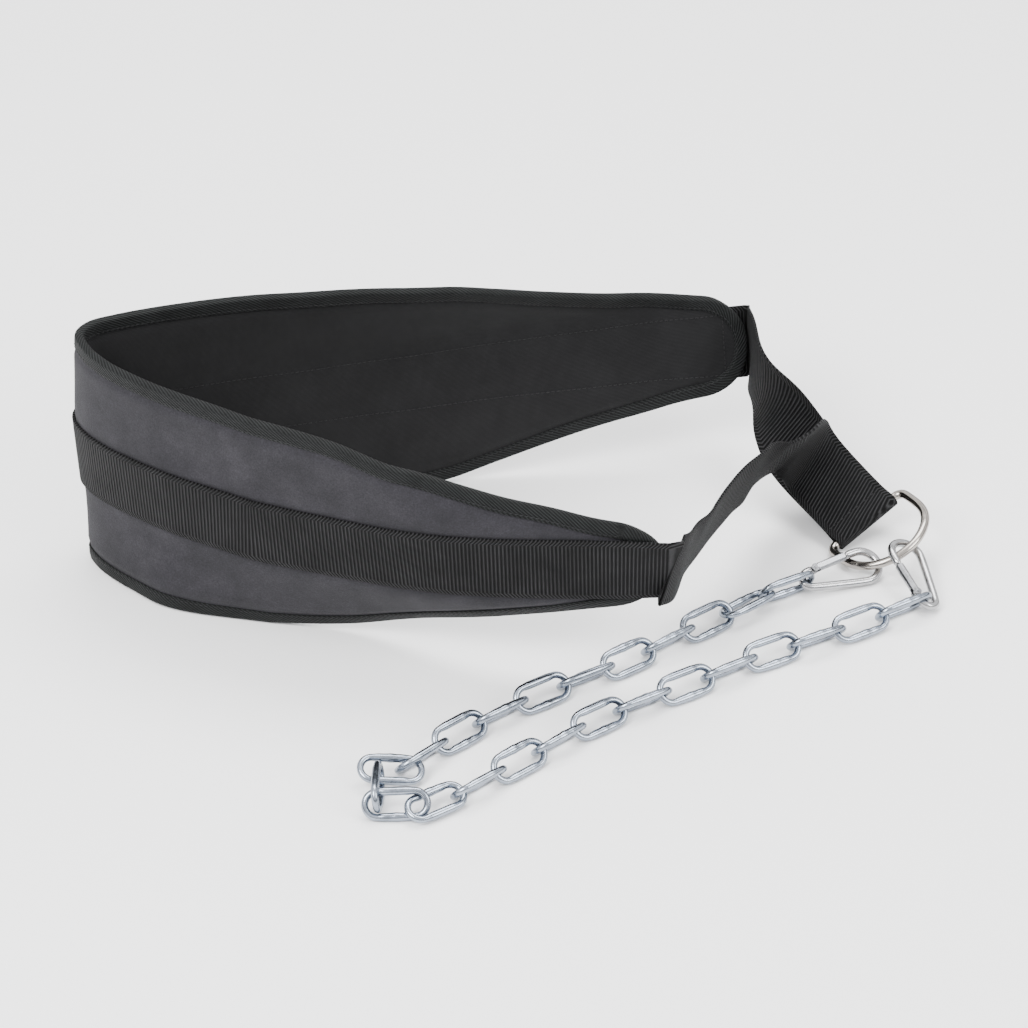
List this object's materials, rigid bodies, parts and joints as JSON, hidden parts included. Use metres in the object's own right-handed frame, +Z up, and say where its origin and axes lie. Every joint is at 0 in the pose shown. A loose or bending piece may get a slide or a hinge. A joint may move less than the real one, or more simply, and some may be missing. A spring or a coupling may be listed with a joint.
{
  "type": "dip belt",
  "caption": "Wide padded waist belt with bound edges, a webbing band through a D-shaped ring, and a steel chain hung on two sprung snap hooks.",
  "frame": {"origin": "middle of the whole thing's footprint, on the floor it stands on", "axes": "+X from the closed back of the pad towards the ring, +Y across the waist away from the lying chain, +Z up"},
  "size_m": [0.5714, 0.4414, 0.178],
  "materials": {
    "pad_cloth": "charcoal felted cloth over foam",
    "binding_tape": "black twill tape",
    "webbing_cloth": "black ribbed nylon webbing",
    "ring_steel": "nickel plated steel wire",
    "hook_steel": "nickel plated steel wire",
    "gate_steel": "turned steel bar, satin",
    "chain_zinc": "bright zinc plated steel wire"
  },
  "bodies": {
    "belt": {"back_pad": "pad_cloth", "edge_binding": "binding_tape", "webbing": "webbing_cloth", "d_ring": "ring_steel", "snap_hook_left_body": "hook_steel", "snap_hook_right_body": "hook_steel", "chain_link_01": "chain_zinc", "chain_link_02": "chain_zinc", "chain_link_03": "chain_zinc", "chain_link_04": "chain_zinc", "chain_link_05": "chain_zinc", "chain_link_06": "chain_zinc", "chain_link_07": "chain_zinc", "chain_link_08": "chain_zinc", "chain_link_09": "chain_zinc", "chain_link_10": "chain_zinc", "chain_link_11": "chain_zinc", "chain_link_12": "chain_zinc", "chain_link_13": "chain_zinc", "chain_link_14": "chain_zinc", "chain_link_15": "chain_zinc", "chain_link_16": "chain_zinc", "chain_link_17": "chain_zinc", "chain_link_18": "chain_zinc", "chain_link_19": "chain_zinc", "chain_link_20": "chain_zinc", "chain_link_21": "chain_zinc", "chain_link_22": "chain_zinc", "chain_link_23": "chain_zinc", "chain_link_24": "chain_zinc", "chain_link_25": "chain_zinc"},
    "left_gate": {"snap_hook_left_gate": "gate_steel"},
    "right_gate": {"snap_hook_right_gate": "gate_steel"}
  },
  "joints": [
    {"name": "left_gate_hinge", "type": "hinge", "parent": "belt", "child": "left_gate", "pos_m": [0.20415, 0.03618, 0.01198], "axis": [-0.1958, 0.4264, -0.8831], "range_deg": [0, 22], "stiffness_Nm_per_rad": 0.02},
    {"name": "right_gate_hinge", "type": "hinge", "parent": "belt", "child": "right_gate", "pos_m": [0.26964, 0.00986, 0.01144], "axis": [-0.4109, 0.1361, -0.9015], "range_deg": [0, 22], "stiffness_Nm_per_rad": 0.02}
  ]
}
